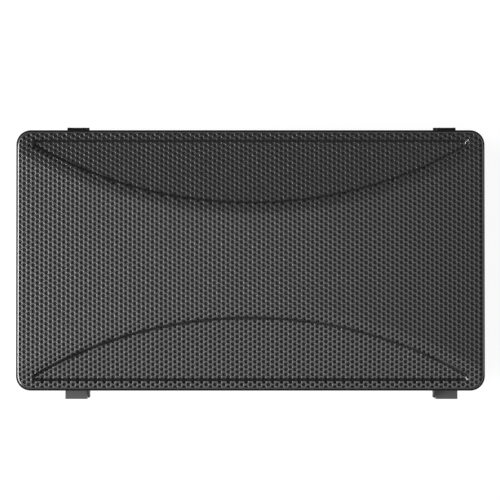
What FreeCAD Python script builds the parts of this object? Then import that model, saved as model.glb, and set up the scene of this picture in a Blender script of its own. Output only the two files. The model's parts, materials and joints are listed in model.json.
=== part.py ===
"""Lidded chip rack: a shallow moulded tub with a five-channel chip tray, closed by a hinged lid
whose top is a formed steel grille.  Millimetres.  +Z is the grille's outward side, -Y the hinge
side and +Y the latch side.  Pieces are drawn about the middle of the outline, on the plane of the
feet, and are moved at the end so that the origin lies under the middle of the whole part."""

import FreeCAD, Part
import math
import os

from FreeCAD import Vector

# ---- outline and base ----
OUTLINE_W = 218.0
OUTLINE_D = 121.2
CORNER_R = 6.8
WALL = 2.2
FOOT_PROUD = 1.5
FLOOR_T = 1.6
BASE_H = 24.5
BOTTOM_FILLET = 1.5
PARTING_CHAMFER = 0.3

# ---- lip that centres the lid on the base ----
SPLIT_GAP = 0.2
LIP_T = 1.0
LIP_H = 2.0
LIP_CLEAR = 0.15

# ---- lid frame and the grille seated in it ----
LID_WALL_H = 15.8
LEDGE_T = 1.6
LEDGE_W = 3.8
RIM_T = 0.6
RIM_H = 3.6
RIM_FILLET = 0.25
GRILLE_CLEAR = 0.05
SHEET = 0.8
FLANGE_SETBACK = 0.4
TAB_W = 6.0
TAB_REACH = 2.8
TAB_CLEAR = 0.1
END_TAB_SPACING = 43.4

# ---- formed top of the grille ----
CROWN_RISE = 10.0
BULGE_DROP = 4.5
FACET_START = 21.9
FACET_ANGLE = 8.7
LENS_PEAK_Y = 26.7
LENS_MARGIN_Y = 5.1
LENS_MARGIN_X = 8.3
LENS_END_H = 1.9
LENS_DEPTH = 1.8
LENS_WALL_W = 1.3
LINING_T = 0.5
LINING_MARGIN = 1.0

# ---- chip tray ----
CHANNEL_R = 20.2
RIB_T = 1.6
TRAY_T = 1.0
TRAY_H = 17.3
TRAY_CLEAR = 0.3
LINER_T = 0.4
LINER_HALF_ANGLE = 34.0
TRAY_BOSS_W = 6.0

# ---- feet ----
FOOT_R = 6.0
FOOT_SEAT = 0.6
FOOT_FROM_END = 13.0
FOOT_FROM_SIDE = 12.0

# ---- screws ----
SCREW_R = 1.0
SCREW_HOLE_CLEAR = 0.15
SCREW_HEAD_R = 1.6
SCREW_HEAD_H = 1.1
CSK_HEAD_R = 1.5
CSK_DEPTH = 0.6
SCREW_BITE = 2.4
BITE_SPARE = 0.2
PAD_T = 2.8
PAD_SIDE = 2.4
PAD_DROP = 1.0

# ---- hinges ----
HINGE_FROM_LEFT = 26.7
HINGE_FROM_RIGHT = 16.3
BLOCK_W = 10.2
BLOCK_PROUD = 4.7
BLOCK_DROP = 13.0
BLOCK_TOP_RISE = 1.5
AXIS_OUT = 2.1
PIN_R = 0.9
PIN_SHORT = 0.3
RUNNING_CLEAR = 0.05
EAR_R = 1.73
EAR_T = 0.95
EAR_GAP = 0.5
EAR_TOP_RISE = 12.0
EAR_FLANGE_RISE = 3.0
EAR_FLANGE_T = 1.0

# ---- latches ----
LATCH_FROM_LEFT = 27.6
LATCH_FROM_RIGHT = 17.2
LATCH_W = 8.8
LATCH_PROUD = 1.8
LATCH_RECESS = 1.2
LATCH_SIDE_GAP = 0.25
LATCH_PIVOT_RISE = 10.6
LATCH_EYE_W = 5.4
LATCH_EYE_GAP = 0.15
LATCH_PIN_R = 0.6
CHEEK_CHAMFER = 1.0
LATCH_DROP = 11.8
LIP_OUT = 1.4
LIP_RISE = 3.4
BARB_DROP = 6.4
BARB_H = 1.9
WINDOW_H = 2.9
WINDOW_GAP = 0.2
CATCH_TOP_DROP = 0.6
CATCH_H = 12.0
CATCH_FACE_GAP = 0.05

# ---- modelling allowances ----
JOIN = 0.3
OVER = 1.0
FAR = 400.0
EDGE_TOL = 0.01

# ---- worked out from the sizes above ----
HALF_W = OUTLINE_W / 2
HALF_D = OUTLINE_D / 2
BASE_Z = FOOT_PROUD
FLOOR_Z = BASE_Z + FLOOR_T
SPLIT_Z = BASE_Z + BASE_H
LID_Z = SPLIT_Z + SPLIT_GAP
LEDGE_Z = LID_Z + LID_WALL_H
LEDGE_LOW_Z = LEDGE_Z - LEDGE_T
RIM_Z = LEDGE_Z + RIM_H
CROWN_Z = LEDGE_Z + CROWN_RISE
GRILLE_INSET = RIM_T + GRILLE_CLEAR
LEDGE_INSET = WALL + LEDGE_W
FLANGE_INSET = LEDGE_INSET - FLANGE_SETBACK
TRAY_SCREW_INSET = WALL + TRAY_CLEAR + SCREW_HEAD_R
CHANNEL_HALF_L = HALF_D - TRAY_SCREW_INSET - SCREW_HEAD_R - TRAY_CLEAR - TRAY_T
CHANNEL_PITCH = 2 * CHANNEL_R + RIB_T
CHANNELS = int((OUTLINE_W - 2 * (WALL + TRAY_CLEAR + TRAY_T)) / CHANNEL_PITCH)
CHANNEL_AXIS_Z = FLOOR_Z + TRAY_T + CHANNEL_R
TRAY_TOP_Z = FLOOR_Z + TRAY_H
PAD_INNER = HALF_D - WALL - PAD_T
LID_PAD_Z = SPLIT_Z + LIP_H + 2 * TRAY_CLEAR
AXIS_Y = -HALF_D - AXIS_OUT
LATCH_FACE_Y = HALF_D + LATCH_PROUD
RECESS_Y = HALF_D - LATCH_RECESS
CHEEK_R = (LATCH_PROUD + LATCH_RECESS) / 2
PIVOT_Y = RECESS_Y + CHEEK_R
PIVOT_Z = SPLIT_Z + LATCH_PIVOT_RISE
LATCH_INNER_Y = HALF_D + CATCH_FACE_GAP
BARB_TOP_Z = SPLIT_Z - BARB_DROP
CATCH_TOP_Z = SPLIT_Z - CATCH_TOP_DROP
CATCH_BOTTOM_Z = CATCH_TOP_Z - CATCH_H
WINDOW_TOP_Z = BARB_TOP_Z + WINDOW_GAP
WINDOW_LOW_Z = WINDOW_TOP_Z - WINDOW_H
ORIGIN_SHIFT = Vector(0, (BLOCK_PROUD - LATCH_PROUD - LIP_OUT) / 2, 0)

HINGES = {"left": -HALF_W + HINGE_FROM_LEFT, "right": HALF_W - HINGE_FROM_RIGHT}
LATCHES = {"left": -HALF_W + LATCH_FROM_LEFT, "right": HALF_W - LATCH_FROM_RIGHT}
UP, DOWN = Vector(0, 0, 1), Vector(0, 0, -1)
INTO_REAR, INTO_FRONT = Vector(0, 1, 0), Vector(0, -1, 0)


# ---- helpers ----
def box(x0, x1, y0, y1, z0, z1):
    return Part.makeBox(x1 - x0, y1 - y0, z1 - z0, Vector(x0, y0, z0))


def rod(start, direction, length, radius):
    return Part.makeCylinder(radius, length, start, direction)


def rod_x(x0, x1, y, z, radius):
    return rod(Vector(x0, y, z), Vector(1, 0, 0), x1 - x0, radius)


def slab(inset, z0, z1):
    """The rounded outline moved inwards by inset, as a solid from z0 to z1."""
    half_w, half_d = HALF_W - inset, HALF_D - inset
    radius = max(CORNER_R - inset, WALL / 4)
    plate = box(-half_w, half_w, -half_d, half_d, z0, z1)
    return plate.makeFillet(radius, [e for e in plate.Edges if e.BoundBox.ZLength > EDGE_TOL])


def edges_at(shape, z):
    """The edges that lie level at height z."""
    return [
        e for e in shape.Edges
        if abs(e.BoundBox.ZMin - z) < EDGE_TOL and abs(e.BoundBox.ZMax - z) < EDGE_TOL
    ]


def extrude_x(points, x0, x1):
    """A closed outline of (y, z) points, extruded along X."""
    corners = [Vector(x0, y, z) for y, z in points]
    face = Part.Face(Part.makePolygon(corners + corners[:1]))
    return face.extrude(Vector(x1 - x0, 0, 0))


def joined(shapes):
    return shapes[0].multiFuse(shapes[1:]).removeSplitter()


def cut(shape, tools):
    return shape.cut(tools).removeSplitter()


def turned_round(shape):
    """The same shape turned half round Z, to the opposite side or end."""
    turned = shape.copy()
    turned.rotate(Vector(0, 0, 0), UP, 180)
    return turned


def pan_screw(seat, direction, grip):
    """Round-headed screw: head on the seat, shank along direction for grip plus its bite."""
    head = rod(seat - direction * SCREW_HEAD_H, direction, SCREW_HEAD_H, SCREW_HEAD_R)
    shank = rod(seat, direction, grip + SCREW_BITE, SCREW_R)
    return head.fuse(shank).removeSplitter()


def flush_screw(face, direction, grip):
    """Countersunk screw whose head ends flush with the face it enters."""
    head = Part.makeCone(CSK_HEAD_R, SCREW_R, CSK_DEPTH, face, direction)
    shank = rod(face + direction * CSK_DEPTH, direction, grip + SCREW_BITE - CSK_DEPTH, SCREW_R)
    return head.fuse(shank).removeSplitter()


def thread_hole(seat, direction, grip):
    return rod(seat, direction, grip + SCREW_BITE + BITE_SPARE, SCREW_R)


# ---- formed cover surface ----
def facet_frame(shape):
    """From the flat frame of the +Y facet (x, along the slope, outward) to its real place."""
    placed = shape.copy()
    placed.rotate(Vector(0, 0, 0), Vector(1, 0, 0), -FACET_ANGLE)
    placed.translate(Vector(0, FACET_START, CROWN_Z))
    return placed


def lens_wire(grow, height):
    """Segment-shaped outline on the facet: a straight side, two short ends and one long arc."""
    along = 1 / math.cos(math.radians(FACET_ANGLE))
    half = HALF_W - LENS_MARGIN_X
    line = (HALF_D - LENS_MARGIN_Y - FACET_START) * along
    peak = (LENS_PEAK_Y - FACET_START) * along
    sagitta = line - LENS_END_H - peak
    radius = (half**2 + sagitta**2) / (2 * sagitta)
    tip = peak + radius - math.sqrt((radius + grow) ** 2 - (half + grow) ** 2)
    peak, line, half = peak - grow, line + grow, half + grow
    left_tip, right_tip = Vector(-half, tip, height), Vector(half, tip, height)
    left_top, right_top = Vector(-half, line, height), Vector(half, line, height)
    edges = [
        Part.makeLine(left_top, left_tip),
        Part.Arc(left_tip, Vector(0, peak, height), right_tip).toShape(),
        Part.makeLine(right_tip, right_top),
        Part.makeLine(right_top, left_top),
    ]
    return Part.Wire(Part.__sortEdges__(edges))


def lens_pocket():
    """Sunken panel with sloping sides, and a straight-walled part above to clear the bulge."""
    half_slope = LENS_WALL_W / 2
    sides = Part.makeLoft([lens_wire(half_slope, 0), lens_wire(-half_slope, -LENS_DEPTH)], True, True)
    above = Part.Face(lens_wire(half_slope, 0)).extrude(Vector(0, 0, LENS_DEPTH))
    return facet_frame(sides.fuse(above).removeSplitter())


def cover_volume(inset, drop, z0):
    """Everything under the formed top, lowered by drop, inside the outline moved in by inset."""
    bulge_r = (HALF_W**2 + BULGE_DROP**2) / (2 * BULGE_DROP)
    bulge = rod(Vector(0, -FAR, CROWN_Z - bulge_r), Vector(0, 1, 0), 2 * FAR, bulge_r)
    facet = facet_frame(box(-FAR, FAR, -FACET_START, FAR, 0, FAR))
    pocket = lens_pocket()
    form = [facet, turned_round(facet), pocket, turned_round(pocket)]
    for tool in [bulge] + form:
        tool.translate(Vector(0, 0, -drop))
    return slab(inset, z0, CROWN_Z + OVER).common(bulge).cut(form)


# ---- places of tabs, screws and feet ----
def channel_xs():
    return [(i - (CHANNELS - 1) / 2) * CHANNEL_PITCH for i in range(CHANNELS)]


def rib_xs():
    """The middles of the ribs between neighbouring channels."""
    return [x + CHANNEL_PITCH / 2 for x in channel_xs()[:-1]]


def all_round(front, right):
    """A shape at each rib of the long sides and at two places of each end.

    front is drawn at x = 0 against the +Y side, and right at y = 0 against the +X end.
    """
    placed = []
    for shape, steps in (
        (front, [Vector(x, 0, 0) for x in rib_xs()]),
        (right, [Vector(0, s * END_TAB_SPACING / 2, 0) for s in (-1, 1)]),
    ):
        for step in steps:
            copy = shape.translated(step)
            placed += [copy, turned_round(copy)]
    return placed


def tray_screw_places():
    line_y = HALF_D - TRAY_SCREW_INSET
    return [Vector(x, s * line_y, TRAY_TOP_Z) for x in (rib_xs()[0], rib_xs()[-1]) for s in (-1, 1)]


def foot_places():
    x, y = HALF_W - FOOT_FROM_END, HALF_D - FOOT_FROM_SIDE
    return {"front_left": (-x, y), "front_right": (x, y), "rear_left": (-x, -y), "rear_right": (x, -y)}


def hinge_block_screw_places(x):
    z = SPLIT_Z - (BLOCK_DROP + PIN_R) / 2 - OVER
    return [Vector(x + s * BLOCK_W / 4, -HALF_D - BLOCK_PROUD / 2, z) for s in (-1, 1)]


def ear_screw_places(x):
    z = SPLIT_Z + (EAR_FLANGE_RISE + EAR_TOP_RISE) / 2
    return [Vector(x + s * BLOCK_W / 4, -HALF_D, z) for s in (-1, 1)]


def catch_screw_places(x):
    face = HALF_D - CATCH_FACE_GAP
    low, high = (CATCH_BOTTOM_Z + WINDOW_LOW_Z) / 2, (WINDOW_TOP_Z + CATCH_TOP_Z) / 2
    return [Vector(x, face, z) for z in (low, high)]


# ---- base ----
def wall_pads(z0, z1, front_y, grow):
    """Thick places inside the walls where the hinge, catch and latch pieces are fixed."""
    half = BLOCK_W / 2 + PAD_SIDE + grow
    inner = PAD_INNER - grow
    rear = [box(x - half, x + half, -HALF_D + WALL - JOIN, -inner, z0, z1) for x in HINGES.values()]
    front = [box(x - half, x + half, inner, front_y, z0, z1) for x in LATCHES.values()]
    return rear + front


def base_pads(grow):
    return wall_pads(FLOOR_Z - JOIN, SPLIT_Z - PAD_DROP + grow, HALF_D - WALL + JOIN, grow)


def tray_bosses():
    """Blocks on the long walls that the tray's flange is screwed to."""
    inner, outer = CHANNEL_HALF_L + TRAY_T + TRAY_CLEAR, HALF_D - WALL + JOIN
    half = TRAY_BOSS_W / 2
    front = [
        box(p.x - half, p.x + half, inner, outer, FLOOR_Z - JOIN, TRAY_TOP_Z - TRAY_T)
        for p in tray_screw_places() if p.y > 0
    ]
    return front + [turned_round(boss) for boss in front]


def latch_recess(x, z0, z1):
    half = LATCH_W / 2 + LATCH_SIDE_GAP
    return box(x - half, x + half, RECESS_Y, FAR, z0, z1)


def base_shell():
    outer = slab(0, BASE_Z, SPLIT_Z)
    outer = outer.makeFillet(min(BOTTOM_FILLET, FLOOR_T), edges_at(outer, BASE_Z))
    outer = outer.makeChamfer(PARTING_CHAMFER, edges_at(outer, SPLIT_Z))
    lip = slab(WALL - LIP_T, SPLIT_Z - LIP_T, SPLIT_Z + LIP_H)
    shell = outer.fuse(lip).cut(slab(WALL, FLOOR_Z, SPLIT_Z + LIP_H + OVER))
    shell = joined([shell] + base_pads(0) + tray_bosses())
    tools = [thread_hole(p, DOWN, TRAY_T) for p in tray_screw_places()]
    for x in LATCHES.values():
        tools.append(latch_recess(x, CATCH_BOTTOM_Z - 2 * TRAY_CLEAR, FAR))
        tools += [thread_hole(p, INTO_FRONT, LATCH_RECESS) for p in catch_screw_places(x)]
    for x in HINGES.values():
        tools += [thread_hole(p, INTO_REAR, BLOCK_PROUD / 2) for p in hinge_block_screw_places(x)]
    for x, y in foot_places().values():
        tools.append(rod(Vector(x, y, 0), UP, BASE_Z + FOOT_SEAT, FOOT_R))
    return cut(shell, tools)


def channel_rods(radius, half_length):
    return [
        rod(Vector(x, -half_length, CHANNEL_AXIS_Z), Vector(0, 1, 0), 2 * half_length, radius)
        for x in channel_xs()
    ]


def chip_tray():
    """Thin-walled tray: half-round channels, end walls, and a flange that covers the gap."""
    half_l = CHANNEL_HALF_L + TRAY_T
    half_w = HALF_W - WALL - TRAY_CLEAR
    body = box(-half_w, half_w, -half_l, half_l, FLOOR_Z, TRAY_TOP_Z)
    hollow = box(-half_w + TRAY_T, half_w - TRAY_T, -CHANNEL_HALF_L, CHANNEL_HALF_L,
                 FLOOR_Z - OVER, TRAY_TOP_Z - TRAY_T)
    under = hollow.cut(channel_rods(CHANNEL_R + TRAY_T, half_l))
    flange = slab(WALL + TRAY_CLEAR, TRAY_TOP_Z - TRAY_T, TRAY_TOP_Z)
    tray = body.fuse(flange).cut(channel_rods(CHANNEL_R, CHANNEL_HALF_L) + [under])
    holes = [
        rod(p + DOWN * 2 * TRAY_T, UP, 3 * TRAY_T, SCREW_R + SCREW_HOLE_CLEAR)
        for p in tray_screw_places()
    ]
    return cut(tray, base_pads(TRAY_CLEAR) + holes)


def channel_liners():
    """One thin felt strip along the bottom of each channel."""
    half_l = CHANNEL_HALF_L - TRAY_CLEAR
    reach = CHANNEL_R * math.sin(math.radians(LINER_HALF_ANGLE))
    outer, inner = channel_rods(CHANNEL_R, half_l), channel_rods(CHANNEL_R - LINER_T, half_l)
    strips = []
    for i, x in enumerate(channel_xs()):
        keep = box(x - reach, x + reach, -half_l, half_l, 0, CHANNEL_AXIS_Z)
        strips.append(outer[i].cut(inner[i]).common(keep))
    return strips


def foot(x, y):
    """Rubber foot seated in a shallow round recess, with a small chamfer where it rests."""
    body = rod(Vector(x, y, 0), UP, BASE_Z + FOOT_SEAT, FOOT_R)
    return body.makeChamfer(FOOT_PROUD / 3, edges_at(body, 0))


# ---- hinges ----
def hinge_block(x):
    """Die-cast block on the base that holds the pin; its rear top edge stops the open lid."""
    x0, x1 = x - BLOCK_W / 2, x + BLOCK_W / 2
    wall, tip = -HALF_D, -HALF_D - BLOCK_PROUD
    low, top, ease = SPLIT_Z - BLOCK_DROP, SPLIT_Z + BLOCK_TOP_RISE, BLOCK_PROUD / 4
    body = extrude_x(
        [(wall, low), (tip + ease, low), (tip, low + ease), (tip, top),
         (AXIS_Y, top), (AXIS_Y, SPLIT_Z), (wall, SPLIT_Z)],
        x0, x1,
    )
    nose = rod_x(x0, x1, AXIS_Y, SPLIT_Z, AXIS_OUT - RUNNING_CLEAR)
    nose = nose.common(box(x0, x1, AXIS_Y, FAR, SPLIT_Z, top))
    holes = [rod_x(x0 - OVER, x1 + OVER, AXIS_Y, SPLIT_Z, PIN_R)]
    for p in hinge_block_screw_places(x):
        holes.append(rod(p, INTO_REAR, BLOCK_PROUD, SCREW_R + SCREW_HOLE_CLEAR))
        holes.append(rod(p, INTO_FRONT, BLOCK_PROUD, SCREW_HEAD_R + SCREW_HOLE_CLEAR))
    return cut(body.fuse(nose), holes)


def ear_sides(x):
    """The ear's two x values; it stands on the side of the block nearer the middle."""
    side = -1 if x > 0 else 1
    near = x + side * (BLOCK_W / 2 + EAR_GAP)
    return sorted([near, near + side * EAR_T])


def ear_flange_sides(x):
    low, high = ear_sides(x)
    return (low, x + BLOCK_W / 2) if x > 0 else (x - BLOCK_W / 2, high)


def hinge_ear(x):
    """Bent steel bracket let into the lid wall, with the ear that turns on the pin."""
    x0, x1 = ear_sides(x)
    wall, back = -HALF_D, -HALF_D + EAR_FLANGE_T
    low, top = SPLIT_Z + EAR_FLANGE_RISE, SPLIT_Z + EAR_TOP_RISE
    eye = rod_x(x0, x1, AXIS_Y, SPLIT_Z, EAR_R)
    arm = extrude_x(
        [(AXIS_Y - EAR_R, SPLIT_Z), (AXIS_Y + EAR_R, SPLIT_Z), (AXIS_Y + EAR_R, low), (back, low),
         (back, top), (wall, top), (AXIS_Y - EAR_R, low + EAR_R)],
        x0, x1,
    )
    f0, f1 = ear_flange_sides(x)
    flange = box(f0, f1, wall, back, low, top)
    holes = [rod_x(x0 - OVER, x1 + OVER, AXIS_Y, SPLIT_Z, PIN_R + RUNNING_CLEAR)]
    holes += [flush_screw(p, INTO_REAR, EAR_FLANGE_T) for p in ear_screw_places(x)]
    return cut(joined([eye, arm, flange]), holes)


def hinge_pin(x):
    """Steel pin pressed into the block, its free end running in the ear."""
    ear_low, ear_high = ear_sides(x)
    if x > 0:
        return rod_x(ear_low, x + BLOCK_W / 2 - PIN_SHORT, AXIS_Y, SPLIT_Z, PIN_R)
    return rod_x(x - BLOCK_W / 2 + PIN_SHORT, ear_high, AXIS_Y, SPLIT_Z, PIN_R)


# ---- latches ----
def latch_outline(x, z0, z1, inner_y):
    """Plan outline of a latch or its cheeks: the end nearer the middle has a 45-degree corner."""
    half = LATCH_W / 2
    points = [(-half, inner_y), (half, inner_y), (half, LATCH_FACE_Y - CHEEK_CHAMFER),
              (half - CHEEK_CHAMFER, LATCH_FACE_Y), (-half, LATCH_FACE_Y)]
    side = -1 if x > 0 else 1
    corners = [Vector(x + side * px, py, z0) for px, py in points]
    return Part.Face(Part.makePolygon(corners + corners[:1])).extrude(Vector(0, 0, z1 - z0))


def latch_lever(x):
    """Snap lever: an eye on the pin, a plate over the parting line, a barb and a finger lip."""
    eye0, eye1 = x - LATCH_EYE_W / 2, x + LATCH_EYE_W / 2
    full0, full1 = x - LATCH_W / 2, x + LATCH_W / 2
    eye_r = CHEEK_R - RUNNING_CLEAR
    eye = rod_x(eye0, eye1, PIVOT_Y, PIVOT_Z, eye_r)
    neck = box(eye0, eye1, LATCH_INNER_Y, PIVOT_Y + eye_r, PIVOT_Z - 2 * CHEEK_R, PIVOT_Z)
    low = SPLIT_Z - LATCH_DROP
    plate = latch_outline(x, low, PIVOT_Z - 1.5 * CHEEK_R, LATCH_INNER_Y)
    root_y, barb_y = LATCH_INNER_Y + JOIN, RECESS_Y + 2 * RUNNING_CLEAR
    barb = extrude_x(
        [(root_y, BARB_TOP_Z), (barb_y, BARB_TOP_Z), (barb_y, BARB_TOP_Z - BARB_H / 3),
         (root_y, BARB_TOP_Z - BARB_H)],
        eye0, eye1,
    )
    lip_y = LATCH_FACE_Y + LIP_OUT
    lip = extrude_x(
        [(LATCH_INNER_Y, low), (lip_y, low), (lip_y, low + LIP_OUT / 2), (root_y, low + LIP_RISE)],
        full0, full1,
    )
    bore = rod_x(full0, full1, PIVOT_Y, PIVOT_Z, LATCH_PIN_R + RUNNING_CLEAR)
    return cut(joined([eye, neck, plate, barb, lip]), [bore])


def latch_cheeks(x):
    """The two ears of the lid frame that hold the latch pin."""
    x0, x1 = x - LATCH_W / 2, x + LATCH_W / 2
    root_y = RECESS_Y - JOIN
    round_part = rod_x(x0, x1, PIVOT_Y, PIVOT_Z, CHEEK_R)
    root = box(x0, x1, root_y, PIVOT_Y, PIVOT_Z - CHEEK_R, PIVOT_Z + CHEEK_R)
    slot_half = LATCH_EYE_W / 2 + LATCH_EYE_GAP
    slot = box(x - slot_half, x + slot_half, RECESS_Y, FAR, 0, FAR)
    outline = latch_outline(x, PIVOT_Z - 2 * CHEEK_R, PIVOT_Z + 2 * CHEEK_R, root_y)
    return round_part.fuse(root).common(outline).cut(slot)


def latch_pin(x):
    reach = LATCH_W / 2 - PIN_SHORT
    return rod_x(x - reach, x + reach, PIVOT_Y, PIVOT_Z, LATCH_PIN_R)


def catch_plate(x):
    """Steel plate let into the base wall; the barb enters its window."""
    half, window_half = LATCH_W / 2, LATCH_EYE_W / 2 + 2 * LATCH_EYE_GAP
    plate = box(x - half, x + half, RECESS_Y, HALF_D - CATCH_FACE_GAP, CATCH_BOTTOM_Z, CATCH_TOP_Z)
    window = box(x - window_half, x + window_half, 0, FAR, WINDOW_LOW_Z, WINDOW_TOP_Z)
    holes = [flush_screw(p, INTO_FRONT, LATCH_RECESS) for p in catch_screw_places(x)]
    return cut(plate, [window] + holes)


# ---- lid ----
def lid_frame():
    outer = slab(0, LID_Z, RIM_Z)
    outer = outer.makeChamfer(PARTING_CHAMFER, edges_at(outer, LID_Z))
    outer = outer.makeFillet(min(RIM_FILLET, RIM_T / 2), edges_at(outer, RIM_Z))
    frame = outer.cut([
        slab(WALL, LID_Z - OVER, LEDGE_LOW_Z),
        slab(WALL - LIP_T - LIP_CLEAR, LID_Z - OVER, SPLIT_Z + LIP_H + SPLIT_GAP),
        slab(LEDGE_INSET, LEDGE_LOW_Z - OVER, RIM_Z + OVER),
        slab(RIM_T, LEDGE_Z, RIM_Z + OVER),
    ])
    frame = joined([frame] + wall_pads(LID_PAD_Z, LEDGE_LOW_Z + JOIN, RECESS_Y - JOIN, 0))
    tools = []
    for x in HINGES.values():
        f0, f1 = ear_flange_sides(x)
        low, top = SPLIT_Z + EAR_FLANGE_RISE, SPLIT_Z + EAR_TOP_RISE
        tools.append(box(f0, f1, -FAR, -HALF_D + EAR_FLANGE_T, low, top))
        tools += [thread_hole(p, INTO_REAR, EAR_FLANGE_T) for p in ear_screw_places(x)]
    tools += [latch_recess(x, 0, PIVOT_Z + CHEEK_R + TRAY_CLEAR) for x in LATCHES.values()]
    frame = joined([frame.cut(tools + tab_notches())] + [latch_cheeks(x) for x in LATCHES.values()])
    bores = [rod_x(x - LATCH_W, x + LATCH_W, PIVOT_Y, PIVOT_Z, LATCH_PIN_R) for x in LATCHES.values()]
    return cut(frame, bores)


def grille_tab(half_extent):
    """Tab folded down from the flange's inner edge and bent outwards under the ledge."""
    stem = half_extent - FLANGE_INSET
    low = LEDGE_LOW_Z - SHEET
    return extrude_x(
        [(stem, LEDGE_Z + SHEET), (stem, low), (stem + TAB_REACH, low), (stem + TAB_REACH, LEDGE_LOW_Z),
         (stem + SHEET, LEDGE_LOW_Z), (stem + SHEET, LEDGE_Z + SHEET)],
        -TAB_W / 2, TAB_W / 2,
    )


def tab_notch(half_extent):
    """The notch in the ledge's inner edge that a tab passes through."""
    half = TAB_W / 2 + TAB_CLEAR
    inner, outer = half_extent - LEDGE_INSET - OVER, half_extent - FLANGE_INSET + SHEET + TAB_CLEAR
    return box(-half, half, inner, outer, LEDGE_LOW_Z - OVER, LEDGE_Z + OVER)


def at_right(shape):
    """A shape drawn against the +Y side, turned to face the +X end."""
    turned = shape.copy()
    turned.rotate(Vector(0, 0, 0), UP, -90)
    return turned


def tab_notches():
    return all_round(tab_notch(HALF_D), at_right(tab_notch(HALF_W)))


def cover_grille():
    """Formed sheet with a folded skirt, an inward flange on the ledge, and tabs bent under it."""
    outer = cover_volume(GRILLE_INSET, 0, LEDGE_Z)
    inner = cover_volume(GRILLE_INSET + SHEET, SHEET, LEDGE_Z + SHEET)
    opening = slab(FLANGE_INSET, LEDGE_Z - OVER, LEDGE_Z + SHEET + JOIN)
    return joined([outer.cut([inner, opening])] + all_round(grille_tab(HALF_D), at_right(grille_tab(HALF_W))))


def grille_lining():
    """Dark cloth bonded under the sheet, following its form."""
    inset = GRILLE_INSET + SHEET + LINING_MARGIN
    low = LEDGE_Z + SHEET
    top = cover_volume(inset, SHEET, low)
    return top.cut(cover_volume(inset - LINING_T, SHEET + LINING_T, low - OVER))


def screws():
    """Each kind of screw as one group of separate solids."""
    hinge_xs, latch_xs = HINGES.values(), LATCHES.values()
    return {
        "tray_screws": [pan_screw(p, DOWN, TRAY_T) for p in tray_screw_places()],
        "hinge_block_screws": [
            pan_screw(p, INTO_REAR, BLOCK_PROUD / 2) for x in hinge_xs for p in hinge_block_screw_places(x)
        ],
        "hinge_ear_screws": [
            flush_screw(p, INTO_REAR, EAR_FLANGE_T) for x in hinge_xs for p in ear_screw_places(x)
        ],
        "catch_screws": [
            flush_screw(p, INTO_FRONT, LATCH_RECESS) for x in latch_xs for p in catch_screw_places(x)
        ],
    }


def build():
    nodes = {
        "base_shell": base_shell(),
        "chip_tray": chip_tray(),
        "channel_liners": Part.makeCompound(channel_liners()),
        "lid_frame": lid_frame(),
        "cover_grille": cover_grille(),
        "grille_lining": grille_lining(),
    }
    for name, (x, y) in foot_places().items():
        nodes["foot_" + name] = foot(x, y)
    for side, x in HINGES.items():
        nodes["hinge_block_" + side] = hinge_block(x)
        nodes["hinge_ear_" + side] = hinge_ear(x)
        nodes["hinge_pin_" + side] = hinge_pin(x)
    for side, x in LATCHES.items():
        nodes["latch_" + side] = latch_lever(x)
        nodes["latch_pin_" + side] = latch_pin(x)
        nodes["catch_plate_" + side] = catch_plate(x)
    for name, group in screws().items():
        nodes[name] = Part.makeCompound(group)
    return nodes


os.makedirs("parts", exist_ok=True)
for name, shape in build().items():
    shape.translate(ORIGIN_SHIFT)
    shape.exportStep(os.path.join("parts", name + ".step"))
    print(f"{name:20s} solids {len(shape.Solids):2d}  volume {shape.Volume:9.1f}  valid {shape.isValid()}")
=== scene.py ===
"""Visual model of a lidded chip rack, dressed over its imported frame.  Metres, +Z out through the
formed grille, -Y the hinge side and +Y the latch side.

The frame's own solids keep their shapes and get finishes.  Four things are made again here in finer
form: the grille, with its field of round perforations and its plain border, the cloth under it, the
felt in the channels, and the screws."""

import json
import math

import bmesh
import bpy
from mathutils import Matrix, Vector, noise


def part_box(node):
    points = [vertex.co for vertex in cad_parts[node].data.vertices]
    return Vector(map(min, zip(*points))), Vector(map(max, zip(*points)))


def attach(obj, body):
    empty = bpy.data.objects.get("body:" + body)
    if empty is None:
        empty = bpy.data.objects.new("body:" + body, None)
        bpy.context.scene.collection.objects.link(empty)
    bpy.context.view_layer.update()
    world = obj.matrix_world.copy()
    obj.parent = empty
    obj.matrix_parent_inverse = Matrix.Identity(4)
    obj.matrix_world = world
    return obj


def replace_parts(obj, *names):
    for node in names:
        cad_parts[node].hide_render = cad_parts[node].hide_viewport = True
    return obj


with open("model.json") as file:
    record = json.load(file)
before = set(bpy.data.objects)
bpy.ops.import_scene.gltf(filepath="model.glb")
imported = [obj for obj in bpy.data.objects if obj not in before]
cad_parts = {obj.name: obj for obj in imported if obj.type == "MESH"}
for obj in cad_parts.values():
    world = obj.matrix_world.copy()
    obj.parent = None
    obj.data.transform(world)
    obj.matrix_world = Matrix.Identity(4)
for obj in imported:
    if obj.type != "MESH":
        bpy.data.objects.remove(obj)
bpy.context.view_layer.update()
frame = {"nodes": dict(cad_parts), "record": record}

MM = 0.001
UP = Vector((0, 0, 1))

# ---- the formed sheet, as the frame has it ----
SHEET = 0.8 * MM
CORNER_R = 6.15 * MM
BULGE_DROP = 4.5 * MM
BULGE_HALF = 109.0 * MM
FACET_START = 21.9 * MM
FACET_SLOPE = math.tan(math.radians(8.7))
LENS_PEAK_Y = 26.7 * MM
LENS_LINE_Y = 55.5 * MM
LENS_END_H = 1.9 * MM
LENS_HALF = 100.7 * MM
LENS_DEPTH = 1.8 * MM
LENS_WALL_W = 1.3 * MM
FLANGE_W = 4.95 * MM
TAB_W = 6.0 * MM
TAB_REACH = 2.8 * MM
TAB_XS = (-63 * MM, -21 * MM, 21 * MM, 63 * MM)
TAB_YS = (-21.7 * MM, 21.7 * MM)
LEDGE_T = 1.6 * MM

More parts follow.
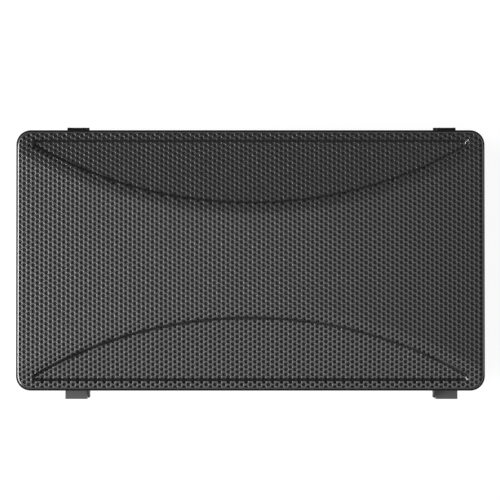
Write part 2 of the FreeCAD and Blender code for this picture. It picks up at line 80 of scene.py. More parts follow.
# ---- its bends, which the frame leaves sharp, and the steps of its curves ----
BEND_R = 1.3 * MM
BEND_STEPS = 10
CORNER_STEPS = 8
CREASE_SOFT = 0.25 * MM
LENS_CHORDS = 22
TAB_BEND_R = 1.0 * MM
TAB_BEND_STEPS = 5
TAB_ROUND = 1.2 * MM
TAB_ROUND_STEPS = 3

# ---- its perforations, and the plain border outside them ----
HOLE_PITCH = 2.38 * MM
HOLE_R = 0.81 * MM
HOLE_EDGE_W = 0.18 * MM
HOLE_EDGE_H = 0.095 * MM
HOLE_SIDES = 12
PATTERN_SHIFT = Vector((0.16, -0.98, 0)) * MM
BANDS = 5
FIELD_LAP = 0.45 * MM
BORDER_CUTS = 80
WELD = 0.001 * MM
SCORE_SNAP = 0.02 * MM

# ---- cloth under the sheet, and felt in the channels ----
CLOTH_T = 0.45 * MM
CLOTH_GAP = 0.05 * MM
CLOTH_CELL = 1.5 * MM
CLOTH_SLACK = 1.3 * MM
FELT_T = 0.38 * MM
FELT_FUZZ = 0.04 * MM
FELT_W = 23.8 * MM
FELT_CELLS = (28, 110)
CHANNEL_R = 20.18 * MM
CHANNEL_XS = tuple(i * 42 * MM for i in range(-2, 3))
SOFT_ANGLE = 60

# ---- screws, and the cross recess in their heads as shares of the head's radius ----
SCREW_SIDES = 24
SCREW_TURN = 0.65
SHANK_R = 1.0 * MM
SHANK_TAPER = 0.5
PAN_R = 1.6 * MM
PAN_H = 1.1 * MM
SUNK_R = 1.5 * MM
SUNK_H = 0.6 * MM
RECESS_REACH = 0.58
RECESS_FOOT = 0.4
RECESS_DEPTH = 0.45
RECESS_ARM = 0.3

# ---- the stage ----
CAMERA_HEIGHT = 1.1
CAMERA_LENS = 170.27
CAMERA_FOOT = Vector((-0.65, -12.16, 0)) * MM
CAMERA_AIM = Vector((-0.2, 5.54, 0)) * MM
FLOOR_HALF = 4.0
FLOOR_GREY = 0.14
FLOOR_GLOW = 0.9
WORLD_GLOW = 0.31

grille_low, grille_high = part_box("cover_grille")
ledge_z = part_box("grille_lining")[0].z - SHEET
grille_mid = (grille_low + grille_high) / 2
grille_half = (grille_high - grille_low) / 2
crown_z = grille_high.z
rim_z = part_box("lid_frame")[1].z


# ---- shader helpers ----
def new_group(name, inputs, outputs):
    """An empty shader group with named value inputs and outputs."""
    group = bpy.data.node_groups.new(name, "ShaderNodeTree")
    for label, value in inputs.items():
        socket = group.interface.new_socket(label, in_out="INPUT", socket_type="NodeSocketFloat")
        socket.default_value = value
    for label in outputs:
        group.interface.new_socket(label, in_out="OUTPUT", socket_type="NodeSocketFloat")
    return group, group.nodes.new("NodeGroupInput"), group.nodes.new("NodeGroupOutput")


def add_math(tree, operation, first, second):
    """A Math node on two sockets or numbers; gives back its output."""
    node = tree.nodes.new("ShaderNodeMath")
    node.operation = operation
    for slot, value in zip(node.inputs, (first, second)):
        if isinstance(value, bpy.types.NodeSocket):
            tree.links.new(value, slot)
        else:
            slot.default_value = value
    return node.outputs[0]


def surface_noise(tree, scale, detail, stretch=(1, 1, 1)):
    """Noise on the object's own coordinates; gives back its value output."""
    place = tree.nodes.new("ShaderNodeTexCoord")
    mapping = tree.nodes.new("ShaderNodeMapping")
    mapping.inputs["Scale"].default_value = stretch
    texture = tree.nodes.new("ShaderNodeTexNoise")
    texture.inputs["Detail"].default_value = detail
    tree.links.new(place.outputs["Object"], mapping.inputs["Vector"])
    tree.links.new(mapping.outputs["Vector"], texture.inputs["Vector"])
    if isinstance(scale, bpy.types.NodeSocket):
        tree.links.new(scale, texture.inputs["Scale"])
    else:
        texture.inputs["Scale"].default_value = scale
    return texture.outputs["Fac"]


def make_handling_group():
    """Faint smudges: a roughness that wanders round its middle value."""
    inputs = {"Roughness": 0.4, "Spread": 0.1, "Scale": 30}
    group, given, result = new_group("handling", inputs, ["Roughness"])
    cloud = surface_noise(group, given.outputs["Scale"], 4)
    offset = add_math(group, "SUBTRACT", cloud, 0.5)
    swing = add_math(group, "MULTIPLY", offset, given.outputs["Spread"])
    total = add_math(group, "ADD", swing, given.outputs["Roughness"])
    group.links.new(total, result.inputs["Roughness"])
    return group


def make_grain_group():
    """Fine moulded or sprayed grain, as a height."""
    group, given, result = new_group("grain", {"Scale": 4000, "Coarse": 0.3}, ["Height"])
    fine = surface_noise(group, given.outputs["Scale"], 2)
    broad = surface_noise(group, add_math(group, "MULTIPLY", given.outputs["Scale"], 0.2), 1)
    weighted = add_math(group, "MULTIPLY", broad, given.outputs["Coarse"])
    group.links.new(add_math(group, "ADD", fine, weighted), result.inputs["Height"])
    return group


HANDLING = make_handling_group()
GRAIN = make_grain_group()


def use_group(tree, group, **values):
    """Puts a group into a material with the values given; gives back its output."""
    node = tree.nodes.new("ShaderNodeGroup")
    node.node_tree = group
    for label, value in values.items():
        node.inputs[label].default_value = value
    return node.outputs[0]


def new_finish(name, color, metallic=0.0, specular=0.5):
    """A material of one colour; gives back the material, its node tree and its shader."""
    material = bpy.data.materials.new(name)
    material.use_nodes = True
    shader = material.node_tree.nodes["Principled BSDF"]
    shader.inputs["Base Color"].default_value = (*color, 1)
    shader.inputs["Metallic"].default_value = metallic
    shader.inputs["Specular IOR Level"].default_value = specular
    return material, material.node_tree, shader


def link_bump(tree, shader, height, distance, strength=1.0):
    """Raises the shader's surface by a height."""
    bump = tree.nodes.new("ShaderNodeBump")
    bump.inputs["Strength"].default_value = strength
    bump.inputs["Distance"].default_value = distance
    tree.links.new(height, bump.inputs["Height"])
    tree.links.new(bump.outputs["Normal"], shader.inputs["Normal"])


def grained_finish(name, color, roughness, spread, grain, depth, specular):
    """Plastic, paint, casting or rubber: one colour, wandering gloss and a fine grain."""
    material, tree, shader = new_finish(name, color, specular=specular)
    rough = use_group(tree, HANDLING, Roughness=roughness, Spread=spread)
    tree.links.new(rough, shader.inputs["Roughness"])
    link_bump(tree, shader, use_group(tree, GRAIN, Scale=grain), depth)
    return material


def brushed_steel():
    """Bright turned or drawn steel, with streaks along X."""
    material, tree, shader = new_finish("steel", (0.56, 0.56, 0.57), metallic=1.0)
    rough = use_group(tree, HANDLING, Roughness=0.3, Spread=0.12, Scale=200)
    tree.links.new(rough, shader.inputs["Roughness"])
    link_bump(tree, shader, surface_noise(tree, 900, 3, (0.05, 1, 1)), 0.02 * MM, 0.4)
    return material


def felt_finish():
    """Short-fibred felt: mottled colour, soft sheen and a tangled surface."""
    material, tree, shader = new_finish("felt", (0.05, 0.05, 0.055), specular=0.2)
    fibres = surface_noise(tree, 2500, 5)
    ramp = tree.nodes.new("ShaderNodeValToRGB")
    ramp.color_ramp.elements[0].position = 0.3
    ramp.color_ramp.elements[0].color = (0.02, 0.02, 0.023, 1)
    ramp.color_ramp.elements[1].position = 0.75
    ramp.color_ramp.elements[1].color = (0.075, 0.075, 0.082, 1)
    tree.links.new(fibres, ramp.inputs["Fac"])
    tree.links.new(ramp.outputs["Color"], shader.inputs["Base Color"])
    shader.inputs["Roughness"].default_value = 0.95
    shader.inputs["Sheen Weight"].default_value = 0.3
    link_bump(tree, shader, fibres, 0.25 * MM, 0.8)
    return material


def lining_finish():
    """Plain-woven black cloth: two crossed sets of threads."""
    material, tree, shader = new_finish("lining_cloth", (0.057, 0.057, 0.057), specular=0.15)
    place = tree.nodes.new("ShaderNodeTexCoord")
    threads = []
    for direction in ("X", "Y"):
        wave = tree.nodes.new("ShaderNodeTexWave")
        wave.bands_direction = direction
        wave.inputs["Scale"].default_value = 450
        wave.inputs["Distortion"].default_value = 0.6
        tree.links.new(place.outputs["Object"], wave.inputs["Vector"])
        threads.append(wave.outputs["Fac"])
    shader.inputs["Roughness"].default_value = 0.92
    link_bump(tree, shader, add_math(tree, "MULTIPLY", *threads), 0.12 * MM, 0.7)
    return material


# colour, roughness and how far it wanders, scale and depth of the grain, specular
GRAINED = {
    "moulded_black": ((0.008, 0.008, 0.0085), 0.5, 0.12, 3800, 0.02 * MM, 0.04),
    "tray_black": ((0.012, 0.012, 0.013), 0.42, 0.12, 3000, 0.015 * MM, 0.4),
    "latch_black": ((0.005, 0.005, 0.0053), 0.45, 0.1, 4200, 0.012 * MM, 0.1),
    "grille_steel": ((0.011, 0.011, 0.0113), 0.21, 0.05, 2600, 0.003 * MM, 1.0),
    "rubber": ((0.02, 0.02, 0.02), 0.75, 0.15, 2500, 0.05 * MM, 0.3),
    "block_grey": ((0.047, 0.047, 0.0475), 0.36, 0.08, 1800, 0.01 * MM, 0.6),
    "steel_black": ((0.004, 0.004, 0.0042), 0.45, 0.1, 3000, 0.01 * MM, 0.1),
}
FINISHES = {name: grained_finish(name, *values) for name, values in GRAINED.items()}
FINISHES["steel"] = brushed_steel()
FINISHES["felt"] = felt_finish()
FINISHES["lining_cloth"] = lining_finish()


# ---- building helpers ----
def finish_mesh(name, bm, body, slot, smooth_angle=30):
    """Turns a bmesh into a piece that rides on a body and has the finish of a slot."""
    mesh = bpy.data.meshes.new(name)
    bm.to_mesh(mesh)
    bm.free()
    mesh.shade_smooth()
    mesh.set_sharp_from_angle(angle=math.radians(smooth_angle))
    mesh.materials.append(FINISHES[slot])
    piece = bpy.data.objects.new(name, mesh)
    bpy.context.scene.collection.objects.link(piece)
    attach(piece, body)
    return piece


def verts_of(geom):
    return [v for v in geom if isinstance(v, bmesh.types.BMVert)]


def edges_of(geom):
    return [e for e in geom if isinstance(e, bmesh.types.BMEdge)]


def everything(bm):
    return bm.verts[:] + bm.edges[:] + bm.faces[:]


def flat_grid(bm, half, cells=(1, 1)):
    """A flat rectangle of cells round the origin, from its two half lengths."""
    matrix = Matrix.Diagonal((*half, 1, 1))
    bmesh.ops.create_grid(bm, x_segments=cells[0], y_segments=cells[1], size=1, matrix=matrix)


def keep_above(bm, height):
    """Cuts a mesh along a level plane and drops what lies below it."""
    bmesh.ops.bisect_plane(bm, geom=everything(bm), plane_co=UP * height, plane_no=UP, clear_inner=True)


def turn_out(bm):
    """Makes all faces look outwards."""
    bmesh.ops.recalc_face_normals(bm, faces=bm.faces[:])


def thicken(bm, thickness):
    """Gives an open sheet its thickness, on the inner side."""
    turn_out(bm)
    bmesh.ops.solidify(bm, geom=bm.faces[:], thickness=thickness)
    turn_out(bm)


def repeat(bm, count, step):
    """Adds copies of everything so far, each one step further on."""
    first = everything(bm)
    for i in range(1, count):
        copy = bmesh.ops.duplicate(bm, geom=first)["geom"]
        bmesh.ops.translate(bm, vec=step * i, verts=verts_of(copy))


def grow_ring(bm, edges, centre, radius, height):
    """Extrudes a ring of edges; each new vertex lies on its own ray from the centre line."""
    geom = bmesh.ops.extrude_edge_only(bm, edges=edges)["geom"]
    for v in verts_of(geom):
        ray = (v.co - centre).xy.to_3d().normalized()
        v.co = centre + ray * (radius(ray) if callable(radius) else radius) + UP * height
    return edges_of(geom)


def clamp(value, low, high):
    return min(max(value, low), high)


# ---- form of the grille, from the middle of its plan ----
LENS_STRETCH = math.hypot(1, FACET_SLOPE)
LENS_LINE = (LENS_LINE_Y - FACET_START) * LENS_STRETCH
LENS_PEAK = (LENS_PEAK_Y - FACET_START) * LENS_STRETCH
LENS_SAGITTA = LENS_LINE - LENS_END_H - LENS_PEAK
LENS_R = (LENS_HALF**2 + LENS_SAGITTA**2) / (2 * LENS_SAGITTA)
LENS_CENTRE = LENS_PEAK + LENS_R
BULGE_R = (BULGE_HALF**2 + BULGE_DROP**2) / (2 * BULGE_DROP)


def in_plan(point):
    """Plan place of a point of the blank, whose distances are measured along the bent sheet."""
    facet = max(abs(point.y) - FACET_START, 0)
    y = math.copysign(abs(point.y) - facet + facet / LENS_STRETCH, point.y)
    return Vector((BULGE_R * math.sin(point.x / BULGE_R), y, point.z))


def lens_inside(x, y):
    """How far a place of the plan lies inside the outline of a sunken panel, along the facet."""
    along = (abs(y) - FACET_START) * LENS_STRETCH
    return min(LENS_LINE - along, LENS_R - math.hypot(x, along - LENS_CENTRE), LENS_HALF - abs(x))


def lens_arc(x, grow):
    """Plan distance of a panel's long arc from the middle line, with the outline grown."""
    along = LENS_CENTRE - math.sqrt((LENS_R + grow) ** 2 - x**2)
    return FACET_START + along / LENS_STRETCH


def form_height(x, y):
    """Height of the sheet's outer face: a bulge and two facets, less the sunken panels."""
    bulge = crown_z - BULGE_R + math.sqrt(BULGE_R**2 - x**2)
    facet = crown_z - (abs(y) - FACET_START) * FACET_SLOPE
    crease = max(CREASE_SOFT - abs(bulge - facet), 0) ** 2 / (4 * CREASE_SOFT)
    sunk = LENS_DEPTH * clamp(lens_inside(x, y) / LENS_WALL_W + 0.5, 0, 1)
    return min(bulge, facet) - crease - sunk


def on_form(point, height=form_height):
    """Where a point of the flat blank lies after forming; its z is its depth in the sheet."""
    middle = grille_mid.xy.to_3d()
    core = grille_half - Vector((CORNER_R, CORNER_R, 0))
    flat = point.xy.to_3d()
    nearest = Vector((clamp(flat.x, -core.x, core.x), clamp(flat.y, -core.y, core.y), 0))
    over = (flat - nearest).length - (CORNER_R - BEND_R)
    if over <= 0:
        return middle + flat + UP * (height(flat.x, flat.y) + point.z)
    out = (flat - nearest).normalized()
    foot = flat - out * over
    turn = min(over / BEND_R, math.pi / 2)
    drop = BEND_R * (1 - math.cos(turn)) + max(over - BEND_R * math.pi / 2, 0)
    normal = out * math.sin(turn) + UP * math.cos(turn)
    place = foot + out * BEND_R * math.sin(turn) + UP * (height(foot.x, foot.y) - drop)
    return middle + place + normal * point.z


# ---- perforated sheet ----
def hexagon(ray):
    """Distance from a hole's centre to the edge of its hexagon of sheet, along a ray."""
    turn = math.degrees(math.atan2(ray.y, ray.x)) % 60
    return HOLE_PITCH / 2 / math.cos(math.radians(turn - 30))


def hole_cell(bm, centre):
    """One round hole with a broken edge, in its hexagon of sheet."""
    place = Matrix.Translation(centre)
    round_hole = bmesh.ops.create_circle(bm, segments=HOLE_SIDES, radius=HOLE_R, matrix=place)["verts"]
    rim = list({e for v in round_hole for e in v.link_edges})
    bmesh.ops.translate(bm, vec=-UP * HOLE_EDGE_H, verts=round_hole)
    broken = grow_ring(bm, rim, centre, HOLE_R + HOLE_EDGE_W, 0)
    grow_ring(bm, broken, centre, hexagon, 0)
    foot = grow_ring(bm, rim, centre, HOLE_R, -SHEET)
    grow_ring(bm, foot, centre, hexagon, -SHEET)


def score(bm, faces, keep, point, across):
    """Cuts those of the faces that pass a test along a plane, so that the sheet can crease there."""
    mine = [f for f in faces if keep(f.calc_center_median())]
    geom = {*mine, *(e for f in mine for e in f.edges), *(v for f in mine for v in f.verts)}
    cut = bmesh.ops.bisect_plane(bm, geom=list(geom), dist=SCORE_SNAP, plane_co=point, plane_no=across)
    faces.update(f for f in cut["geom"] if isinstance(f, bmesh.types.BMFace))


def score_walls(bm, x0, x1):
    """Cuts a band of the flat sheet along both edges of the sunken panels' steep walls."""
    reach = HOLE_PITCH + LENS_WALL_W
    faces = {f for f in bm.faces if abs(lens_inside(*f.calc_center_median().xy)) < reach}
    for grow in (LENS_WALL_W / 2, -LENS_WALL_W / 2):
        end = LENS_HALF + grow
        line = FACET_START + (LENS_LINE + grow) / LENS_STRETCH
        stops = [end * (2 * i / LENS_CHORDS - 1) for i in range(LENS_CHORDS + 1)]
        chords = [(a, b) for a, b in zip(stops, stops[1:]) if a < x1 and b > x0]
        for x in (-end, end):
            if x0 < x < x1:
                arc = lens_arc(end, grow)
                score(bm, faces, lambda c: abs(c.x - x) < reach and arc < abs(c.y) < line,
                      Vector((x, 0, 0)), Vector((1, 0, 0)))
        for side in (-1, 1):
            score(bm, faces, lambda c: abs(c.y * side - line) < reach and abs(c.x) < end,
                  Vector((0, side * line, 0)), Vector((0, 1, 0)))
            for left, right in chords:
                a, b = (Vector((x, side * lens_arc(x, grow), 0)) for x in (left, right))
                middle = (a.y + b.y) / 2
                score(bm, faces, lambda c: left < c.x < right and abs(c.y - middle) < 2 * reach,
                      a, (b - a).cross(UP))


def trim(bm, faces, point, out):
    """Cuts the faces along a plane and drops what lies outside it."""
    geom = {*faces, *(e for f in faces for e in f.edges), *(v for f in faces for v in f.verts)}
    bmesh.ops.bisect_plane(bm, geom=list(geom), plane_co=point, plane_no=out, clear_outer=True)


def trim_to_field(bm):
    """Cuts a band of the flat sheet where the holes end, just past the start of the bend."""
    core = grille_half - Vector((CORNER_R, CORNER_R, 0))
    radius = CORNER_R - BEND_R + FIELD_LAP
    for side in (-1, 1):
        for axis, half in ((Vector((side, 0, 0)), core.x), (Vector((0, side, 0)), core.y)):
            beyond = [f for f in bm.faces if f.calc_center_median().dot(axis) > half]
            trim(bm, beyond, axis * (half + radius), axis)
    for x, y in ((1, 1), (-1, 1), (-1, -1), (1, -1)):
        hub = Vector((x * core.x, y * core.y, 0))
        for i in range(CORNER_STEPS):
            turn = math.radians(90 / CORNER_STEPS * (i + 0.5))
            out = Vector((x * math.cos(turn), y * math.sin(turn), 0))
            near = [f for f in bm.faces if (f.calc_center_median() - hub).dot(out) > 0
                    and x * f.calc_center_median().x > core.x - HOLE_PITCH
                    and y * f.calc_center_median().y > core.y - HOLE_PITCH]
            trim(bm, near, hub + out * radius * math.cos(math.radians(45 / CORNER_STEPS)), out)


def grille_band(index):
    """One upright band of the perforated field, laid out flat, welded, scored, trimmed and formed."""
    column = HOLE_PITCH * math.sqrt(3) / 2
    reach = grille_half + Vector((1, 1, 0)) * (crown_z - ledge_z)
    pairs = math.ceil(reach.x / column / BANDS)
    rows = 2 * math.ceil(reach.y / HOLE_PITCH)
    width = pairs * 2 * column
    start = Vector(((index - BANDS / 2) * width, -rows / 2 * HOLE_PITCH, 0)) + PATTERN_SHIFT
    bm = bmesh.new()
    hole_cell(bm, start)
    hole_cell(bm, start + Vector((column, HOLE_PITCH / 2, 0)))
    repeat(bm, rows, UP.cross(Vector((1, 0, 0))) * HOLE_PITCH)
    repeat(bm, pairs, Vector((2 * column, 0, 0)))
    bmesh.ops.remove_doubles(bm, verts=bm.verts[:], dist=WELD)
    for v in bm.verts:
        v.co = in_plan(v.co)
    score_walls(bm, start.x - 2 * column, start.x + width + column)
    trim_to_field(bm)
    for v in bm.verts:
        v.co = on_form(v.co)
    turn_out(bm)
    return finish_mesh(f"grille_band_{index + 1}", bm, "lid", "grille_steel")


def grille_border():
    """The sheet's plain border, bent down from the perforated field to the ledge."""
    bm = bmesh.new()
    core = grille_half - Vector((CORNER_R, CORNER_R, 0))
    field = grille_half - Vector((1, 1, 0)) * (BEND_R - FIELD_LAP)
    flat_grid(bm, field.xy)
    bmesh.ops.bevel(bm, geom=bm.verts[:], affect="VERTICES", offset=CORNER_R - BEND_R + FIELD_LAP,
                    segments=CORNER_STEPS, profile=0.5, material=-1)
    bmesh.ops.delete(bm, geom=bm.faces[:], context="FACES_ONLY")
    sides = [e for e in bm.edges if e.calc_length() > CORNER_R]
    bmesh.ops.subdivide_edges(bm, edges=sides, cuts=BORDER_CUTS)
    edges = bm.edges[:]
    bend = BEND_R * math.pi / 2 - FIELD_LAP
    for width in [bend / BEND_STEPS] * BEND_STEPS + [crown_z - ledge_z]:
        edges = edges_of(bmesh.ops.extrude_edge_only(bm, edges=edges)["geom"])
        for v in {v for e in edges for v in e.verts}:
            hub = Vector((clamp(v.co.x, -core.x, core.x), clamp(v.co.y, -core.y, core.y), 0))
            v.co += (v.co - hub).normalized() * width
    for v in bm.verts:
        v.co = on_form(v.co)
    keep_above(bm, ledge_z)
    thicken(bm, SHEET)
    return finish_mesh("grille_border", bm, "lid", "grille_steel")


def folded_tab(bm, place):
    """One tab of the sheet: down from the flange, a bend, and out under the ledge."""
    old = set(bm.verts)
    ends = [bm.verts.new((x, 0, ledge_z)) for x in (-TAB_W / 2, TAB_W / 2)]
    edges = [bm.edges.new(ends)]
    low = ledge_z - LEDGE_T - SHEET

    def pull(edges, step):
        geom = bmesh.ops.extrude_edge_only(bm, edges=edges)["geom"]
        bmesh.ops.translate(bm, vec=step, verts=verts_of(geom))
        return edges_of(geom)

    edges = pull(edges, UP * (low + TAB_BEND_R - ledge_z))
    hub = Vector((0, TAB_BEND_R, low + TAB_BEND_R))
    spun = bmesh.ops.spin(bm, geom=edges, cent=hub, axis=(1, 0, 0), angle=math.pi / 2,
                          steps=TAB_BEND_STEPS)
    edges = pull(edges_of(spun["geom_last"]), Vector((0, TAB_REACH - TAB_BEND_R, 0)))
    tips = list({v for e in edges for v in e.verts})
    bmesh.ops.bevel(bm, geom=tips, affect="VERTICES", offset=TAB_ROUND, segments=TAB_ROUND_STEPS,
                    profile=0.5, material=-1)
    faces = [f for f in bm.faces if not old.intersection(f.verts)]
    bmesh.ops.recalc_face_normals(bm, faces=faces)
    bmesh.ops.solidify(bm, geom=faces, thickness=SHEET)
    bmesh.ops.transform(bm, matrix=place, verts=[v for v in bm.verts if v not in old])


def grille_flange():
    """The sheet's inward flange, lying on the ledge, and the tabs that hold it there."""
    bm = bmesh.new()
    edge = grille_half - Vector((1, 1, 0)) * SHEET / 2
    flat_grid(bm, edge.xy)
    bmesh.ops.bevel(bm, geom=bm.verts[:], affect="VERTICES", offset=CORNER_R - SHEET / 2,
                    segments=CORNER_STEPS, profile=0.5, material=-1)
    middle = bm.faces[:]
    bmesh.ops.inset_region(bm, faces=middle, thickness=FLANGE_W - SHEET / 2, use_even_offset=True)
    bmesh.ops.delete(bm, geom=middle, context="FACES")
    top = bmesh.ops.extrude_face_region(bm, geom=bm.faces[:])["geom"]
    bmesh.ops.translate(bm, vec=UP * SHEET, verts=verts_of(top))
    bmesh.ops.translate(bm, vec=UP * ledge_z, verts=bm.verts[:])
    turn_out(bm)
    inner = grille_half - Vector((FLANGE_W, FLANGE_W, 0))
    sides = [(x, inner.y, 0) for x in TAB_XS] + [(x, inner.y, 180) for x in TAB_XS]
    sides += [(y, inner.x, -90) for y in TAB_YS] + [(y, inner.x, 90) for y in TAB_YS]
    for along, out, turn in sides:
        turned = Matrix.Rotation(math.radians(turn), 4, "Z")
        folded_tab(bm, turned @ Matrix.Translation((along, out, 0)))
    bmesh.ops.translate(bm, vec=grille_mid.xy.to_3d(), verts=bm.verts[:])
    return finish_mesh("grille_flange", bm, "lid", "grille_steel")


# ---- cloth and felt ----
def cloth_height(x, y):
    """Height of a cloth that bridges the corners of the sheet's form."""
    turns = [i * math.pi / 4 for i in range(8)]
    around = [(x + CLOTH_SLACK * math.cos(t), y + CLOTH_SLACK * math.sin(t)) for t in turns]
    return min(form_height(*place) for place in around + [(x, y)])


def cloth_lining():
    """Woven cloth stretched under the sheet and turned down inside its skirt."""
    bm = bmesh.new()
    reach = grille_half + Vector((1, 1, 0)) * (crown_z - ledge_z)
    flat_grid(bm, reach.xy, [int(2 * half / CLOTH_CELL) for half in reach.xy])
    for v in bm.verts:
        v.co = on_form(v.co - UP * (SHEET + CLOTH_GAP), cloth_height)
    keep_above(bm, ledge_z + SHEET)
    thicken(bm, CLOTH_T)
    piece = finish_mesh("cloth_lining", bm, "lid", "lining_cloth", SOFT_ANGLE)
    return piece


def felt_strip(index):
    """Felt strip glued along the bottom of one channel."""
    low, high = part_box("channel_liners")
    axis = Vector((CHANNEL_XS[index], (low.y + high.y) / 2, low.z + CHANNEL_R))
    half_l = (high.y - low.y) / 2
    bm = bmesh.new()
    flat_grid(bm, (FELT_W / 2, half_l), FELT_CELLS)
    face = bmesh.ops.extrude_face_region(bm, geom=bm.faces[:])["geom"]
    bmesh.ops.translate(bm, vec=UP * FELT_T, verts=verts_of(face))
    for v in bm.verts:
        turn, radius = v.co.x / CHANNEL_R, CHANNEL_R - v.co.z
        if v.co.z:
            radius += FELT_FUZZ * noise.noise(Vector((index, v.co.x / MM, v.co.y / MM)))
        v.co = axis + Vector((radius * math.sin(turn), v.co.y, -radius * math.cos(turn)))
    turn_out(bm)
    piece = finish_mesh(f"felt_strip_{index + 1}", bm, "base", "felt", SOFT_ANGLE)
    return piece


# ---- screws ----
def loose_parts(node):
    """Lowest and highest corner of each separate solid of a node of the frame."""
    bm = bmesh.new()
    bm.from_mesh(frame["nodes"][node].data)
    bmesh.ops.remove_doubles(bm, verts=bm.verts[:], dist=WELD)
    waiting, boxes = set(bm.verts), []
    while waiting:
        part, fresh = set(), {next(iter(waiting))}
        while fresh:
            part |= fresh
            fresh = {e.other_vert(v) for v in fresh for e in v.link_edges} - part
        waiting -= part
        boxes.append([Vector([pick(v.co[i] for v in part) for i in range(3)]) for pick in (min, max)])
    bm.free()
    return sorted(boxes, key=lambda box: tuple(box[0]))


def cross_recess(size):
    """Outline of a cross-shaped driver recess, as a distance along a ray."""
    def outline(ray):
        long, short = sorted((abs(ray.x), abs(ray.y)), reverse=True)
        return size * min(1 / long, RECESS_ARM / max(short, 0.01))
    return outline


def screw(bm, place, head_r, head_rings, length):
    """A cross-recessed screw along -Z below the middle of its head's top, moved to its place."""
    old, middle = set(bm.verts), Vector()
    recess = cross_recess(head_r * RECESS_REACH)
    top = bmesh.ops.create_circle(bm, segments=SCREW_SIDES, radius=head_r / 2)["verts"]
    for v in top:
        v.co = v.co.normalized() * recess(v.co.normalized())
    rim = list({e for v in top for e in v.link_edges})
    pit = grow_ring(bm, rim, middle, cross_recess(head_r * RECESS_FOOT), -head_r * RECESS_DEPTH)
    bmesh.ops.edgeloop_fill(bm, edges=pit)
    tip = SHANK_R * SHANK_TAPER
    for radius, height in head_rings + [(SHANK_R, tip - length), (tip, -length)]:
        rim = grow_ring(bm, rim, middle, radius, height)
    bmesh.ops.edgeloop_fill(bm, edges=rim)
    bmesh.ops.transform(bm, matrix=place, verts=[v for v in bm.verts if v not in old])


def screw_set(node, body, slot, out, head_r, head_rings):
    """All screws of one node, with their heads towards out."""
    bm = bmesh.new()
    upright = UP.rotation_difference(out).to_matrix().to_4x4()
    for i, (low, high) in enumerate(loose_parts(node)):
        middle, half = (low + high) / 2, (high - low) / 2
        length = 2 * abs(half.dot(out))
        turned = upright @ Matrix.Rotation(i * SCREW_TURN, 4, "Z")
        place = Matrix.Translation(middle + out * length / 2) @ turned
        screw(bm, place, head_r, head_rings, length)
    turn_out(bm)
    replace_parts(finish_mesh(node + "_cross_headed", bm, body, slot), node)


for part in frame["record"]["subparts"]:
    node = frame["nodes"][part["node"]]
    node.data.materials.clear()
    node.data.materials.append(FINISHES[part["material_slot"]])

for index in range(BANDS):
    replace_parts(grille_band(index), "cover_grille")
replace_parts(grille_border(), "cover_grille")
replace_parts(grille_flange(), "cover_grille")
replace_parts(cloth_lining(), "grille_lining")
for index in range(len(CHANNEL_XS)):
    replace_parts(felt_strip(index), "channel_liners")

pan_edge = [(PAN_R * 0.75, 0), (PAN_R * 0.93, -PAN_H * 0.15), (PAN_R, -PAN_H * 0.5)]
pan_head = pan_edge + [(PAN_R, -PAN_H), (SHANK_R, -PAN_H)]
sunk_head = [(SUNK_R, 0), (SHANK_R, -SUNK_H)]
screw_set("tray_screws", "base", "steel", UP, PAN_R, pan_head)
screw_set("hinge_block_screws", "base", "steel", Vector((0, -1, 0)), PAN_R, pan_head)
screw_set("hinge_ear_screws", "lid", "steel_black", Vector((0, -1, 0)), SUNK_R, sunk_head)
screw_set("catch_screws", "base", "steel", Vector((0, 1, 0)), SUNK_R, sunk_head)


# ---- stage ----
def softbox(name, place, aim, width, depth, radiance):
    """A rectangular lamp, with the brightness of its face given whatever its size."""
    data = bpy.data.lights.new(name, "AREA")
    data.shape = "RECTANGLE"
    data.size = width
    data.size_y = depth
    data.energy = radiance * math.pi * width * depth
    lamp = bpy.data.objects.new(name, data)
    lamp.location = place
    lamp.rotation_euler = (-UP).rotation_difference(aim - place).to_euler()
    bpy.context.scene.collection.objects.link(lamp)


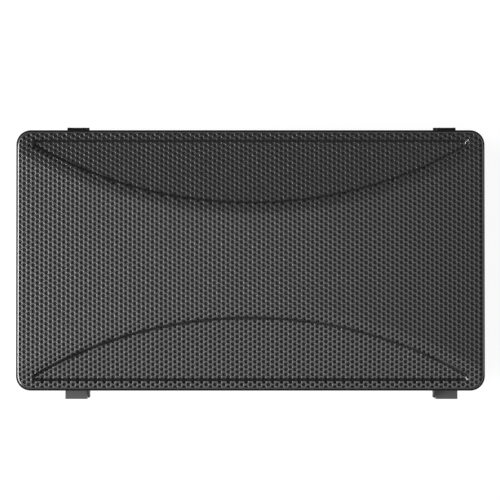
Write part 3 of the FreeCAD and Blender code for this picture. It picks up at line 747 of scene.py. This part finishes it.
def stage_floor():
    """Floor that takes the shadow, and glows white for whoever sees it directly or mirrored."""
    material, tree, shader = new_finish("floor", (FLOOR_GREY,) * 3, specular=0.0)
    shader.inputs["Roughness"].default_value = 1.0
    path = tree.nodes.new("ShaderNodeLightPath")
    seen = add_math(tree, "ADD", path.outputs["Is Camera Ray"], path.outputs["Is Glossy Ray"])
    seen = add_math(tree, "ADD", seen, path.outputs["Is Transmission Ray"])
    glow = add_math(tree, "MULTIPLY", add_math(tree, "MINIMUM", seen, 1.0), FLOOR_GLOW)
    shader.inputs["Emission Color"].default_value = (1, 1, 1, 1)
    tree.links.new(glow, shader.inputs["Emission Strength"])
    bm = bmesh.new()
    flat_grid(bm, (FLOOR_HALF, FLOOR_HALF))
    mesh = bpy.data.meshes.new("floor")
    bm.to_mesh(mesh)
    bm.free()
    mesh.materials.append(material)
    piece = bpy.data.objects.new("floor", mesh)
    bpy.context.scene.collection.objects.link(piece)


def camera():
    """Looks down on the grille from a little over a metre, nearly upright."""
    data = bpy.data.cameras.new("camera")
    data.lens = CAMERA_LENS
    data.sensor_width = 36
    shot = bpy.data.objects.new("camera", data)
    shot.location = CAMERA_FOOT + UP * (rim_z + CAMERA_HEIGHT)
    aim = CAMERA_AIM + UP * rim_z
    shot.rotation_euler = (-UP).rotation_difference(aim - shot.location).to_euler()
    bpy.context.scene.collection.objects.link(shot)
    bpy.context.scene.camera = shot


def studio_world():
    """Even, weak white light from all round."""
    world = bpy.data.worlds.new("studio")
    world.use_nodes = True
    world.node_tree.nodes["Background"].inputs["Color"].default_value = (1, 1, 1, 1)
    world.node_tree.nodes["Background"].inputs["Strength"].default_value = WORLD_GLOW
    bpy.context.scene.world = world


stage_floor()
camera()
studio_world()
softbox("overhead", Vector((-0.62, -1.08, 2.0)), Vector((-0.62, -1.08, 0)), 2.4, 2.65, 1.03)
softbox("left_boost", Vector((-1.6, -0.5, 1.9)), Vector((-1.6, -0.5, 0)), 1.2, 2.2, 1.6)
softbox("strip", Vector((-1.5, 0.1, 1.4)), Vector((0, 0.1, 0)), 0.2, 2.2, 22.0)
softbox("low_left", Vector((-1.5, -0.45, 0.35)), Vector((0, -0.45, 0.05)), 0.6, 2.0, 17.5)
bpy.context.scene.view_settings.view_transform = "Standard"
